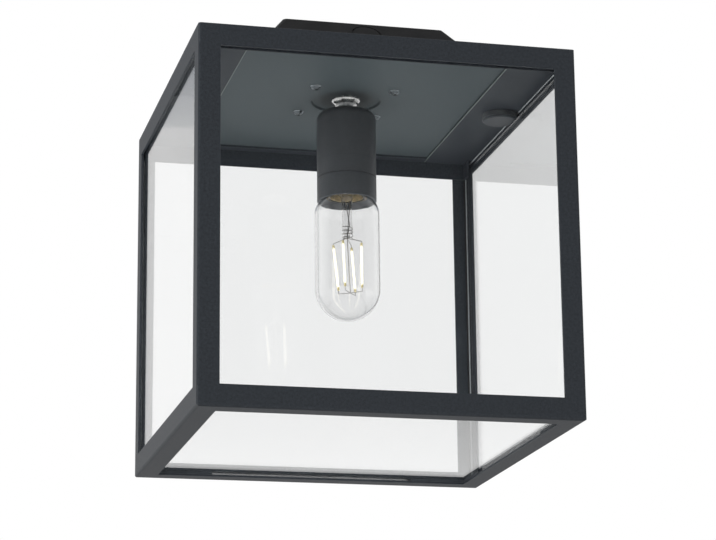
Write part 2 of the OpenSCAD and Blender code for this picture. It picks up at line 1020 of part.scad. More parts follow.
// Keepers under the shelves that hold the panes' upper edges against the rails: a strip along the
// front and one along the back, each with a short leg at both ends
module top_keepers() {
    strip_l = body_w - 2 * fitting_in;
    color(coat)
        for (side = [0, 2])
            on_side(side)
                translate([-strip_l / 2, fitting_in, shelf_low - keeper_h]) {
                    cube([strip_l, clip_t, keeper_h]);
                    cube([clip_t, keeper_w, keeper_h]);
                    translate([strip_l - clip_t, 0, 0])
                        cube([clip_t, keeper_w, keeper_h]);
                }
}

// ---------------------------------------------------------------- thumb screws

// Round-headed screw that holds the glass box up under the plate
module thumb_screw(sx) {
    color(coat)
        translate([sx * thumb_x, 0, 0]) {
            translate([0, 0, knob_low])
                cylinder(h = knob_chamfer, d1 = knob_d - 2 * knob_chamfer, d2 = knob_d);
            translate([0, 0, knob_low + knob_chamfer])
                cylinder(h = knob_h - knob_chamfer, d = knob_d);
            translate([0, 0, shelf_low])
                cylinder(h = thumb_top - shelf_low, d = thumb_d);
        }
}

module thumb_screw_left() { thumb_screw(-1); }
module thumb_screw_right() { thumb_screw(1); }

// ---------------------------------------------------------------- lamp

module lamp_contact() {
    color(zinc)
        translate([0, 0, lamp_top - contact_h])
            cylinder(h = contact_h, d = contact_d);
}

// Dark insulating cone between the tip contact and the screw cap
module lamp_insulator() {
    color("#1C1C20")
        translate([0, 0, cap_shell_top])
            cylinder(h = insulator_h, r1 = cap_d / 2 - 1.5, r2 = contact_d / 2);
}

// Screw cap: a thin metal cup that grips the neck of the glass
module lamp_cap() {
    cap_r = cap_d / 2;
    color(zinc)
        rotate_extrude()
            difference() {
                polygon([
                    [0, cap_skirt_low],
                    [cap_r, cap_skirt_low],
                    [cap_r, cap_shell_top - 1.5],
                    [cap_r - 1.5, cap_shell_top],
                    [0, cap_shell_top]
                ]);
                translate([0, cap_skirt_low - safe])
                    square([cap_r - cap_shell_t, cap_shell_top - cap_skirt_low - 1 + safe - cap_shell_t]);
            }
}

// Half section of the lamp's glass, drawn in from its outer surface by a given wall
module lamp_section(wall) {
    intersection() {
        translate([0, lamp_low - safe])
            square([lamp_r + safe, lamp_l + 2 * safe]);
        union() {
            translate([0, tip_z])
                circle(lamp_r - wall);
            translate([0, tip_z])
                square([lamp_r - wall, shoulder_z - tip_z]);
            intersection() {
                union() {
                    translate([shoulder_in, shoulder_z])
                        circle(lamp_shoulder_r - wall);
                    translate([0, shoulder_z])
                        square([shoulder_in, lamp_shoulder_r - wall]);
                }
                translate([0, shoulder_z - lamp_r])
                    square([lamp_r, cap_skirt_low - shoulder_z + lamp_r]);
            }
            translate([0, shoulder_z])
                square([neck_r - wall, cap_skirt_low + neck_l - shoulder_z]);
        }
    }
}

module lamp_glass() {
    color(clear)
        rotate_extrude()
            difference() {
                lamp_section(0);
                lamp_section(lamp_wall);
                translate([0, cap_skirt_low + neck_l - safe])
                    square([neck_r - lamp_wall, 2 * safe]);
            }
}

// Glass stem: a flare in the neck that narrows to a rod
module lamp_stem() {
    flare_top = cap_skirt_low + neck_l;
    color(clear)
        rotate_extrude()
            polygon([
                [0, flare_top],
                [stem_flare_r, flare_top],
                [stem_flare_r, flare_top - stem_lip_h],
                [stem_r + stem_tip_r, flare_top - stem_flare_h],
                [stem_r, flare_top - stem_neck_h],
                [stem_r, stem_low + stem_tip_h],
                [stem_tip_r, stem_low],
                [0, stem_low]
            ]);
}

// Point at a given radius and level on a filament's own side of the lamp
function around(k, r, z) = [
    r * cos(filament_turn + k * 360 / filament_n),
    r * sin(filament_turn + k * 360 / filament_n),
    z
];

module lamp_filaments() {
    color("#F2C76B")
        for (k = [0 : filament_n - 1])
            rod(around(k, filament_r_low, filament_low), around(k, filament_r_top, filament_top), filament_d);
}

// Support wires: a spider from the stem to the upper ends, and a star that joins the lower ends
module lamp_wires() {
    hub_d = 2.4;
    upper_hub = [0, 0, stem_low - hub_d / 2];
    lower_hub = [0, 0, filament_low - wire_reach];
    color(zinc) {
        rod(upper_hub, lower_hub, wire_d);
        translate(upper_hub)
            sphere(d = hub_d);
        translate(lower_hub)
            sphere(d = hub_d);
        for (k = [0 : filament_n - 1]) {
            rod(upper_hub, around(k, filament_r_top, filament_top + wire_d), wire_d);
            rod(lower_hub, around(k, filament_r_low, filament_low - wire_d), wire_d);
        }
    }
}

ceiling_pan();
cable_grommet();
pan_pillars();
mounting_plate();
plate_screws();
thumb_inserts();
terminal_block();
terminal_sleeves();
terminal_screws();
block_screws();
earth_screw();
earth_tag();
lead_live();
lead_neutral();
lead_earth();
nipple();
nipple_nut_upper();
nipple_nut_lower();
nipple_washer();
holder_cap();
holder_skirt();
holder_core();
holder_shell();
holder_contact();
holder_terminals();
holder_terminal_screws();
top_rail_front();
top_rail_right();
top_rail_back();
top_rail_left();
post_front_left();
post_front_right();
post_back_right();
post_back_left();
bottom_rail_front();
bottom_rail_right();
bottom_rail_back();
bottom_rail_left();
pane_front();
pane_right();
pane_back();
pane_left();
pane_floor();
floor_clips();
top_keepers();
thumb_screw_left();
thumb_screw_right();
lamp_contact();
lamp_insulator();
lamp_cap();
lamp_glass();
lamp_stem();
lamp_filaments();
lamp_wires();
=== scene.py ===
import math

import bmesh
import bpy
from mathutils import Matrix, Vector


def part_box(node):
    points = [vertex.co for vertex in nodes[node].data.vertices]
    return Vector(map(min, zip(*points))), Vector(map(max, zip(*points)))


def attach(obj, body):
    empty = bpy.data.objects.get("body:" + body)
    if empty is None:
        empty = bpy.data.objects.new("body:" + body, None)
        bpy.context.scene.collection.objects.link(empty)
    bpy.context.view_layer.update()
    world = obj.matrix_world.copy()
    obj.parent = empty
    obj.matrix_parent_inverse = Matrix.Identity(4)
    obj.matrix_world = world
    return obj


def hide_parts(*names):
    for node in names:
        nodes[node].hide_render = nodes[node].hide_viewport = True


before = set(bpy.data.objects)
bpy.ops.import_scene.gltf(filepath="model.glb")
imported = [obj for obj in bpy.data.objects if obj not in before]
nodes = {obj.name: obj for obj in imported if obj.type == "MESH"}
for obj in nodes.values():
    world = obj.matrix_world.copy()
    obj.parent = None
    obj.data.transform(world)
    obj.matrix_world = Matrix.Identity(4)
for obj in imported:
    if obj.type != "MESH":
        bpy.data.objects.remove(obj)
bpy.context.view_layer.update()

scene = bpy.context.scene
print("loaded", len(nodes), "nodes")


# Camera, solved from the corners of the glass box
photoCamera = {
    "place": (-0.3817, -1.5938, -0.5953),
    "yaw": 13.725,
    "pitch": 14.974,
    "roll": -0.635,
    "focalPixels": 2497.9,
    "imageWidth": 716,
}


def addCamera(values):
    yaw, pitch, roll = (math.radians(values[k]) for k in ("yaw", "pitch", "roll"))
    ahead = Vector((math.sin(yaw) * math.cos(pitch), math.cos(yaw) * math.cos(pitch), math.sin(pitch)))
    side = Vector((math.cos(yaw), -math.sin(yaw), 0))
    up = side.cross(ahead)
    right = math.cos(roll) * side + math.sin(roll) * up
    top = math.cos(roll) * up - math.sin(roll) * side
    data = bpy.data.cameras.new("photoCamera")
    data.sensor_width = 36
    data.lens = values["focalPixels"] * 36 / values["imageWidth"]
    data.clip_end = 100
    camera = bpy.data.objects.new("photoCamera", data)
    turn = Matrix((right, top, -ahead)).transposed().to_4x4()
    camera.matrix_world = Matrix.Translation(values["place"]) @ turn
    scene.collection.objects.link(camera)
    scene.camera = camera


addCamera(photoCamera)
scene.view_settings.view_transform = "Standard"
print("camera placed")


# Small helpers for node trees
def addNode(tree, kind, settings=None, **inputs):
    node = tree.nodes.new(kind if kind.startswith("Geometry") else "ShaderNode" + kind)
    for key, value in (settings or {}).items():
        setattr(node, key, value)
    for key, value in inputs.items():
        socket = node.inputs[int(key[1:])] if key[1:].isdigit() else node.inputs[key.replace("_", " ")]
        if isinstance(value, bpy.types.NodeSocket):
            tree.links.new(value, socket)
        elif isinstance(value, tuple) and len(value) == 3 and socket.type == "RGBA":
            socket.default_value = (*value, 1)
        else:
            socket.default_value = value
    return node


def maths(tree, operation, a, b=0.0, clamp=False):
    node = addNode(tree, "Math", {"operation": operation, "use_clamp": clamp}, i0=a, i1=b)
    return node.outputs[0]


def mixColour(tree, share, a, b, blend="MIX"):
    node = addNode(tree, "Mix", {"data_type": "RGBA", "blend_type": blend, "clamp_factor": True})
    for socket, value in ((node.inputs[0], share), (node.inputs[6], a), (node.inputs[7], b)):
        if isinstance(value, bpy.types.NodeSocket):
            tree.links.new(value, socket)
        else:
            socket.default_value = (*value, 1) if isinstance(value, tuple) else value
    return node.outputs[2]


def ranged(tree, value, low, high, toLow, toHigh):
    node = addNode(tree, "MapRange", None, Value=value, From_Min=low, From_Max=high, To_Min=toLow,
                   To_Max=toHigh)
    return node.outputs[0]


def newGroup(name, inputs, outputs):
    tree = bpy.data.node_groups.new(name, "ShaderNodeTree")
    for label, kind, value in inputs:
        socket = tree.interface.new_socket(label, in_out="INPUT", socket_type="NodeSocket" + kind)
        socket.default_value = value
    for label, kind in outputs:
        tree.interface.new_socket(label, in_out="OUTPUT", socket_type="NodeSocket" + kind)
    start, end = tree.nodes.new("NodeGroupInput"), tree.nodes.new("NodeGroupOutput")
    return tree, start.outputs, end.inputs


def useGroup(tree, group, **inputs):
    node = tree.nodes.new("ShaderNodeGroup")
    node.node_tree = group
    for key, value in inputs.items():
        socket = node.inputs[key]
        if isinstance(value, bpy.types.NodeSocket):
            tree.links.new(value, socket)
        else:
            socket.default_value = (*value, 1) if isinstance(value,
                                                             tuple) and socket.type == "RGBA" else value
    return node.outputs


def times(tree, a, b, clamp=False):
    return maths(tree, "MULTIPLY", a, b, clamp)


def plus(tree, a, b, clamp=False):
    return maths(tree, "ADD", a, b, clamp)


def minus(tree, a, b):
    return maths(tree, "SUBTRACT", a, b)


def noiseAt(tree, place, scale, detail, **more):
    return addNode(tree, "TexNoise", None, Vector=place, Scale=scale, Detail=detail, **more).outputs[0]


def objectPlace(tree):
    return addNode(tree, "TexCoord").outputs["Object"]


# Effects shared by the materials, each a group of shader nodes
powderValues = {
    "contrast": (0.35, 0.65),
    "fineShare": 0.6,
    "coarseShare": 0.4,
    "coarseScale": 0.32,
    "pitScale": 0.55,
    "pitDepth": 0.5,
    "roughSwing": 0.25,
}


def makePowder(values):
    tree, given, out = newGroup(
        "powderGrain",
        [("Colour", "Color", (0.03, 0.03, 0.03, 1)), ("Grain", "Float", 1800.0),
         ("Mottle", "Float", 0.25), ("Roughness", "Float", 0.45)],
        [("Colour", "Color"), ("Roughness", "Float"), ("Height", "Float")],
    )
    place = objectPlace(tree)
    fine = noiseAt(tree, place, given["Grain"], 2.0, Roughness=0.6)
    coarse = noiseAt(tree, place, times(tree, given["Grain"], values["coarseScale"]), 3.0)
    pitScale = times(tree, given["Grain"], values["pitScale"])
    pits = addNode(tree, "TexVoronoi", None, Vector=place, Scale=pitScale).outputs[0]
    grain = plus(tree, times(tree, fine, values["fineShare"]), times(tree, coarse, values["coarseShare"]))
    swing = times(tree, ranged(tree, grain, *values["contrast"], -1.0, 1.0), given["Mottle"])
    tinted = addNode(tree, "Mix", {"data_type": "RGBA", "blend_type": "MULTIPLY"}, i0=1.0,
                     i6=given["Colour"])
    tree.links.new(plus(tree, swing, 1.0), tinted.inputs[7])
    tree.links.new(tinted.outputs[2], out["Colour"])
    rough = plus(tree, given["Roughness"], times(tree, swing, values["roughSwing"]), clamp=True)
    tree.links.new(rough, out["Roughness"])
    tree.links.new(plus(tree, fine, times(tree, pits, values["pitDepth"])), out["Height"])
    return tree


edgeValues = {"turn": (0.995, 0.8), "scale": 160.0, "contrast": (0.35, 0.65)}


# Edge colour at bevels, broken up by noise: partly rubbed wear, partly a painted highlight where edges
# catch light
def makeEdgeWearAndHighlight(values):
    tree, given, out = newGroup(
        "edgeWearAndHighlight",
        [("Radius", "Float", 0.0006), ("Break", "Float", 0.4)],
        [("Mask", "Float")],
    )
    rounded = addNode(tree, "Bevel", {"samples": 4}, Radius=given["Radius"]).outputs[0]
    plain = addNode(tree, "NewGeometry").outputs["Normal"]
    turned = addNode(tree, "VectorMath", {"operation": "DOT_PRODUCT"}, i0=rounded,
                     i1=plain).outputs["Value"]
    edge = ranged(tree, turned, *values["turn"], 0.0, 1.0)
    noise = noiseAt(tree, objectPlace(tree), values["scale"], 3.0)
    rubbed = ranged(tree, noise, *values["contrast"], 0.0, 1.0)
    broken = minus(tree, 1.0, times(tree, rubbed, given["Break"]))
    tree.links.new(times(tree, edge, broken, clamp=True), out["Mask"])
    return tree


dustValues = {"scale": 60.0, "contrast": (0.3, 0.7), "least": 0.3, "tilt": 0.3}


def makeDust(values):
    tree, given, out = newGroup(
        "dustMask",
        [("Amount", "Float", 0.3)],
        [("Mask", "Float")],
    )
    normal = addNode(tree, "NewGeometry").outputs["Normal"]
    upward = addNode(tree, "SeparateXYZ", None, Vector=normal).outputs[2]
    noise = noiseAt(tree, objectPlace(tree), values["scale"], 5.0)
    patch = ranged(tree, noise, *values["contrast"], values["least"], 1.0)
    lying = times(tree, ranged(tree, upward, values["tilt"], 1.0, 0.0, 1.0), patch)
    tree.links.new(times(tree, lying, given["Amount"], clamp=True), out["Mask"])
    return tree


spunValues = {
    "squeeze": 0.08,
    "stainScale": 220.0,
    "stainContrast": (0.4, 0.75),
    "stainColour": (0.45, 0.42, 0.38),
    "stainRough": 0.35,
    "lineContrast": (0.3, 0.7),
    "lineRough": 0.06,
}


def makeSpun(values):
    tree, given, out = newGroup(
        "spunMetal",
        [("Colour", "Color", (0.6, 0.6, 0.6, 1)), ("Lines", "Float", 3000.0),
         ("Tarnish", "Float", 0.3), ("Roughness", "Float", 0.3)],
        [("Colour", "Color"), ("Roughness", "Float"), ("Height", "Float")],
    )
    place = objectPlace(tree)
    squeeze = (values["squeeze"], values["squeeze"], 1.0)
    squeezed = addNode(tree, "Mapping", None, Vector=place, Scale=squeeze).outputs[0]
    lines = noiseAt(tree, squeezed, given["Lines"], 2.0)
    stain = noiseAt(tree, place, values["stainScale"], 4.0)
    dull = times(tree, ranged(tree, stain, *values["stainContrast"], 0.0, 1.0), given["Tarnish"])
    dark = addNode(tree, "Mix", {"data_type": "RGBA", "blend_type": "MULTIPLY"},
                   i0=dull, i6=given["Colour"], i7=values["stainColour"])
    tree.links.new(dark.outputs[2], out["Colour"])
    lined = times(tree, ranged(tree, lines, *values["lineContrast"], -1.0, 1.0), values["lineRough"])
    worn = plus(tree, times(tree, dull, values["stainRough"]), lined)
    tree.links.new(plus(tree, given["Roughness"], worn, clamp=True), out["Roughness"])
    tree.links.new(lines, out["Height"])
    return tree


filmValues = {
    "wipeTurn": (0.3, 0.6, 0.2),
    "wipeScale": (1.0, 1.0, 0.25),
    "streakScale": 90.0,
    "streakContrast": (0.52, 0.8),
    "patchScale": 14.0,
    "patchContrast": (0.5, 0.75),
}


def makeSmudges(values):
    tree, given, out = newGroup(
        "glassFilm",
        [("Amount", "Float", 0.05)],
        [("Roughness", "Float"), ("Height", "Float")],
    )
    place = objectPlace(tree)
    wipe = addNode(tree, "Mapping", None, Vector=place, Rotation=values["wipeTurn"],
                   Scale=values["wipeScale"]).outputs[0]
    streaks = noiseAt(tree, wipe, values["streakScale"], 5.0)
    film = noiseAt(tree, place, values["patchScale"], 2.0)
    both = times(tree, ranged(tree, streaks, *values["streakContrast"], 0.0, 1.0),
                 ranged(tree, film, *values["patchContrast"], 0.0, 1.0))
    tree.links.new(times(tree, both, given["Amount"], clamp=True), out["Roughness"])
    tree.links.new(film, out["Height"])
    return tree


powderGroup = makePowder(powderValues)
edgeWearHighlightGroup = makeEdgeWearAndHighlight(edgeValues)
dustGroup = makeDust(dustValues)
spunGroup = makeSpun(spunValues)
filmGroup = makeSmudges(filmValues)


# Materials
finish = {
    "dustColour": (0.32, 0.30, 0.27),
    "seamReach": 0.0016,
    "coatBump": 0.00012,
    "metalRelief": 0.15,
    "metalBump": 0.00005,
    "glassBend": 1.5,
}


def newMaterial(name):
    material = bpy.data.materials.new(name)
    material.use_nodes = True
    tree = material.node_tree
    tree.nodes.clear()
    out = tree.nodes.new("ShaderNodeOutputMaterial")
    shader = tree.nodes.new("ShaderNodeBsdfPrincipled")
    tree.links.new(shader.outputs[0], out.inputs[0])
    return material, tree, shader, out


def bumped(tree, shader, height, strength, distance):
    bump = addNode(tree, "Bump", None, Strength=strength, Distance=distance, Height=height)
    tree.links.new(bump.outputs[0], shader.inputs["Normal"])


def awayFrom(tree, levels, reach):
    height = addNode(tree, "SeparateXYZ", None, Vector=objectPlace(tree)).outputs[2]
    share = 1.0
    for level in levels:
        gap = maths(tree, "ABSOLUTE", minus(tree, height, level))
        share = times(tree, share, ranged(tree, gap, reach * 0.8, reach, 0.0, 1.0))
    return share


def coatMaterial(name, look, seams=()):
    material, tree, shader, _ = newMaterial(name)
    powder = useGroup(tree, powderGroup, Colour=look["colour"], Grain=look["grain"], Mottle=look["mottle"],
                      Roughness=look["roughness"])
    # edges take the coat's edge colour ('worn'): partly wear, partly a painted edge highlight; the holder's
    # darker edge colour paints its edges and seams darker
    wornAndLitEdges = times(tree, useGroup(tree, edgeWearHighlightGroup)["Mask"], look["edge"])
    if seams:
        wornAndLitEdges = times(tree, wornAndLitEdges, awayFrom(tree, seams, finish["seamReach"]))
    lying = useGroup(tree, dustGroup, Amount=look["dust"])["Mask"]
    rubbed = mixColour(tree, wornAndLitEdges, powder["Colour"], look["worn"])
    tree.links.new(mixColour(tree, lying, rubbed, finish["dustColour"]), shader.inputs["Base Color"])
    tree.links.new(powder["Roughness"], shader.inputs["Roughness"])
    shader.inputs["Specular IOR Level"].default_value = look["gloss"]
    shader.inputs["Metallic"].default_value = look["metal"]
    bumped(tree, shader, powder["Height"], look["relief"], finish["coatBump"])
    return material


def metalMaterial(name, look):
    material, tree, shader, _ = newMaterial(name)
    spun = useGroup(tree, spunGroup, Colour=look["colour"], Lines=look["lines"], Tarnish=look["tarnish"],
                    Roughness=look["roughness"])
    tree.links.new(spun["Colour"], shader.inputs["Base Color"])
    tree.links.new(spun["Roughness"], shader.inputs["Roughness"])
    shader.inputs["Metallic"].default_value = 1.0
    bumped(tree, shader, spun["Height"], finish["metalRelief"], finish["metalBump"])
    return material


def glassMaterial(name, look):
    material, tree, shader, out = newMaterial(name)
    shader.inputs["Base Color"].default_value = (*look["colour"], 1)
    shader.inputs["Transmission Weight"].default_value = 1.0
    shader.inputs["IOR"].default_value = finish["glassBend"]
    smudge = useGroup(tree, filmGroup, Amount=look["film"])
    tree.links.new(smudge["Roughness"], shader.inputs["Roughness"])
    path = addNode(tree, "LightPath").outputs
    through = maths(tree, "MAXIMUM", path["Is Shadow Ray"], path["Is Diffuse Ray"])
    clear = addNode(tree, "BsdfTransparent", None, Color=look["colour"])
    mixed = addNode(tree, "MixShader", None, i0=through, i1=shader.outputs[0], i2=clear.outputs[0])
    tree.links.new(mixed.outputs[0], out.inputs[0])
    return material


def coatLook(colour, worn, roughness, mottle=0.1, edge=0.3, dust=0.05, grain=900.0, relief=0.08, gloss=0.5,
             metal=0.0):
    return {"colour": colour, "worn": worn, "roughness": roughness, "mottle": mottle, "edge": edge,
            "dust": dust, "grain": grain, "relief": relief, "gloss": gloss, "metal": metal}


# The second colour of each coat is its edge colour, mixed in at bevels: partly wear, partly a painted edge
# highlight.
coats = {
    "frameCoat": coatLook((0.034, 0.039, 0.046), (0.16, 0.17, 0.18), 0.52, mottle=0.3, edge=0.5, dust=0.15,
                          grain=1800.0, relief=0.25, gloss=0.18),
    # lighter than the frame's coat: partly the plate's own grey, partly painted light for the brighter
    # inside of the lantern
    "plateCoatWithPaintedLight": coatLook((0.060, 0.074, 0.080), (0.16, 0.18, 0.19), 0.55, mottle=0.12, edge=0.5, dust=0.15,
                          grain=1800.0, relief=0.12, gloss=0.3),
    # light edge colour paints glints on the screw heads
    "screwCoat": coatLook((0.20, 0.225, 0.24), (0.70, 0.72, 0.73), 0.24, edge=0.8, relief=0.05, metal=0.85),
    "cement": coatLook((0.78, 0.61, 0.35), (0.70, 0.55, 0.30), 0.6, mottle=0.35, edge=0.0, dust=0.0,
                       grain=700.0, relief=0.3),
    "panCoat": coatLook((0.0035, 0.0035, 0.004), (0.04, 0.04, 0.045), 0.5, mottle=0.2, dust=0.1,
                        grain=1800.0, relief=0.2, gloss=0.25),
    # light colours for the rods that paint highlights on the strips' bends and edges and on the glass edges
    "paintedHighlightCoat": coatLook((0.34, 0.36, 0.37), (0.45, 0.47, 0.48), 0.3, mottle=0.15, edge=0.2, grain=1800.0),
    "hemHighlightCoat": coatLook((0.15, 0.175, 0.17), (0.22, 0.24, 0.24), 0.4, mottle=0.15, edge=0.2, grain=1800.0,
                        gloss=0.3),
    # light edge colour paints a highlight on the knob's chamfered rim
    "knobCoat": coatLook((0.030, 0.035, 0.041), (0.55, 0.57, 0.58), 0.42, mottle=0.2, edge=0.8, dust=0.15,
                         grain=1800.0, relief=0.15, gloss=0.3),
    # darker edge colour paints the holder's edges and seams darker
    "holderPlastic": coatLook((0.064, 0.069, 0.075), (0.022, 0.024, 0.027), 0.45, edge=0.7),
    # light colour for the rod that paints a highlight round the skirt's rim
    "rimHighlightCoat": coatLook((0.26, 0.27, 0.27), (0.36, 0.37, 0.37), 0.35, edge=0.2, dust=0.0),
    "blockPlastic": coatLook((0.72, 0.71, 0.68), (0.85, 0.85, 0.83), 0.45, mottle=0.05, dust=0.1,
                             grain=700.0),
    "rubber": coatLook((0.012, 0.012, 0.013), (0.03, 0.03, 0.03), 0.7, mottle=0.2, dust=0.2, grain=1200.0,
                       relief=0.2),
    "brownLead": coatLook((0.10, 0.045, 0.02), (0.18, 0.09, 0.05), 0.4, edge=0.0),
    "blueLead": coatLook((0.02, 0.07, 0.32), (0.1, 0.16, 0.4), 0.4, edge=0.0),
    "greenLead": coatLook((0.12, 0.33, 0.04), (0.3, 0.4, 0.1), 0.4, edge=0.0),
    "ceramic": coatLook((0.62, 0.58, 0.50), (0.75, 0.72, 0.66), 0.35, grain=600.0),
    "blackGlass": coatLook((0.008, 0.008, 0.010), (0.04, 0.04, 0.05), 0.12, edge=0.1, dust=0.0,
                           relief=0.02),
}
metals = {
    "zinc": {"colour": (0.62, 0.64, 0.66), "roughness": 0.34, "tarnish": 0.35, "lines": 3000.0},
    "brightNickel": {"colour": (0.90, 0.90, 0.89), "roughness": 0.24, "tarnish": 0.08, "lines": 3000.0},
    "brass": {"colour": (0.78, 0.56, 0.24), "roughness": 0.26, "tarnish": 0.25, "lines": 3000.0},
    "solder": {"colour": (0.55, 0.55, 0.55), "roughness": 0.38, "tarnish": 0.3, "lines": 2500.0},
    "wireMetal": {"colour": (0.80, 0.78, 0.75), "roughness": 0.4, "tarnish": 0.3, "lines": 4000.0},
}
glasses = {
    "paneGlass": {"colour": (0.992, 0.996, 0.996), "film": 0.02},
    "lampGlass": {"colour": (0.985, 0.985, 0.985), "film": 0.01},
}
frameLow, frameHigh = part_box("post_front_left")
seams = {"frameCoat": (frameLow.z, frameHigh.z)}
look = {name: coatMaterial(name, row, seams.get(name, ())) for name, row in coats.items()}
look.update((name, metalMaterial(name, row)) for name, row in metals.items())
look.update((name, glassMaterial(name, row)) for name, row in glasses.items())


glow = {
    "strength": 1.0,
    "tip": 0.003,
    "grain": 900.0,
    "contrast": (0.3, 0.7),
    "uneven": 0.0004,
    "lit": (1.0, 0.96, 0.88),
    "litEnds": (0.09, 0.07, 0.03),
    "body": (0.95, 0.86, 0.55),
    "bodyEnds": (0.62, 0.55, 0.30),
    "roughness": (0.35, 0.55),
}


def glowMaterial(name, low, high, values):
    material, tree, shader, _ = newMaterial(name)
    height = addNode(tree, "SeparateXYZ", None, Vector=objectPlace(tree)).outputs[2]
    nearest = maths(tree, "MINIMUM", minus(tree, height, low), minus(tree, high, height))
    grain = noiseAt(tree, objectPlace(tree), values["grain"], 2.0)
    swing = times(tree, ranged(tree, grain, *values["contrast"], -1.0, 1.0), values["uneven"])
    ends = ranged(tree, plus(tree, nearest, swing), values["tip"], values["tip"] * 0.5, 0.0, 1.0)
    body = mixColour(tree, ends, values["body"], values["bodyEnds"])
    lit = mixColour(tree, ends, values["lit"], values["litEnds"])
    rough = ranged(tree, grain, *values["contrast"], *values["roughness"])
    tree.links.new(body, shader.inputs["Base Color"])
    tree.links.new(lit, shader.inputs["Emission Color"])
    tree.links.new(rough, shader.inputs["Roughness"])
    shader.inputs["Emission Strength"].default_value = values["strength"]
    return material


def wear(material, *names):
    for name in names:
        mesh = nodes[name].data
        mesh.materials.clear()
        mesh.materials.append(look[material])


wear("panCoat", "ceiling_pan")
wear("rubber", "cable_grommet")
wear("zinc", "pan_pillars", "earth_tag", "block_screws", "terminal_screws", "nipple", "nipple_nut_upper")
wear("plateCoatWithPaintedLight", "mounting_plate")
wear("screwCoat", "plate_screws")
wear("brass", "thumb_inserts", "terminal_sleeves", "earth_screw", "holder_contact", "holder_terminals",
     "holder_terminal_screws")
wear("blockPlastic", "terminal_block")
wear("brownLead", "lead_live")
wear("blueLead", "lead_neutral")
wear("greenLead", "lead_earth")
wear("brightNickel", "nipple_nut_lower", "nipple_washer")
wear("holderPlastic", "holder_cap", "holder_skirt")
wear("ceramic", "holder_core")
wear("frameCoat", *(n for n in nodes if n.startswith(("top_rail", "bottom_rail", "post_"))))
wear("frameCoat", "floor_clips")
wear("paneGlass", *(n for n in nodes if n.startswith("pane_")))
wear("solder", "lamp_contact")
wear("blackGlass", "lamp_insulator")
wear("lampGlass", "lamp_glass")
print("materials assigned")


# Pieces grown with Geometry Nodes
turning = {"wallReach": 0.0006, "wallFade": 0.0007, "threadFade": 0.001}
weld = {"turned": 0.000005, "grown": 1e-7, "cad": 1e-6}


def newGrowth(name, inputs):
    tree = bpy.data.node_groups.new(name, "GeometryNodeTree")
    tree.interface.new_socket("Geometry", in_out="INPUT", socket_type="NodeSocketGeometry")
    tree.interface.new_socket("Geometry", in_out="OUTPUT", socket_type="NodeSocketGeometry")
    for label, kind, value in (*inputs, ("Material", "Material", None)):
        socket = tree.interface.new_socket(label, in_out="INPUT", socket_type="NodeSocket" + kind)
        if value is not None:
            socket.default_value = value
    start, end = tree.nodes.new("NodeGroupInput"), tree.nodes.new("NodeGroupOutput")
    return tree, start.outputs, end.inputs


def closeGrowth(tree, given, out, shape, smooth=True):
    shaded = addNode(tree, "GeometryNodeSetShadeSmooth", None, Geometry=shape,
                     Shade_Smooth=smooth).outputs[0]
    real = addNode(tree, "GeometryNodeRealizeInstances", None, Geometry=shaded).outputs[0]
    coated = addNode(tree, "GeometryNodeSetMaterial", None, Geometry=real)
    tree.links.new(given["Material"], coated.inputs["Material"])
    tree.links.new(coated.outputs[0], out["Geometry"])
    return tree


def makeRods():
    tree, given, out = newGrowth("rodAlong", [("Radius", "Float", 0.0004), ("Sides", "Int", 10)])
    line = addNode(tree, "GeometryNodeMeshToCurve", None, Mesh=given["Geometry"]).outputs[0]
    ring = addNode(tree, "GeometryNodeCurvePrimitiveCircle", None, Resolution=given["Sides"],
                   Radius=given["Radius"]).outputs[0]
    rod = addNode(tree, "GeometryNodeCurveToMesh", None, Curve=line, Profile_Curve=ring,
                  Fill_Caps=True).outputs[0]
    return closeGrowth(tree, given, out, rod)


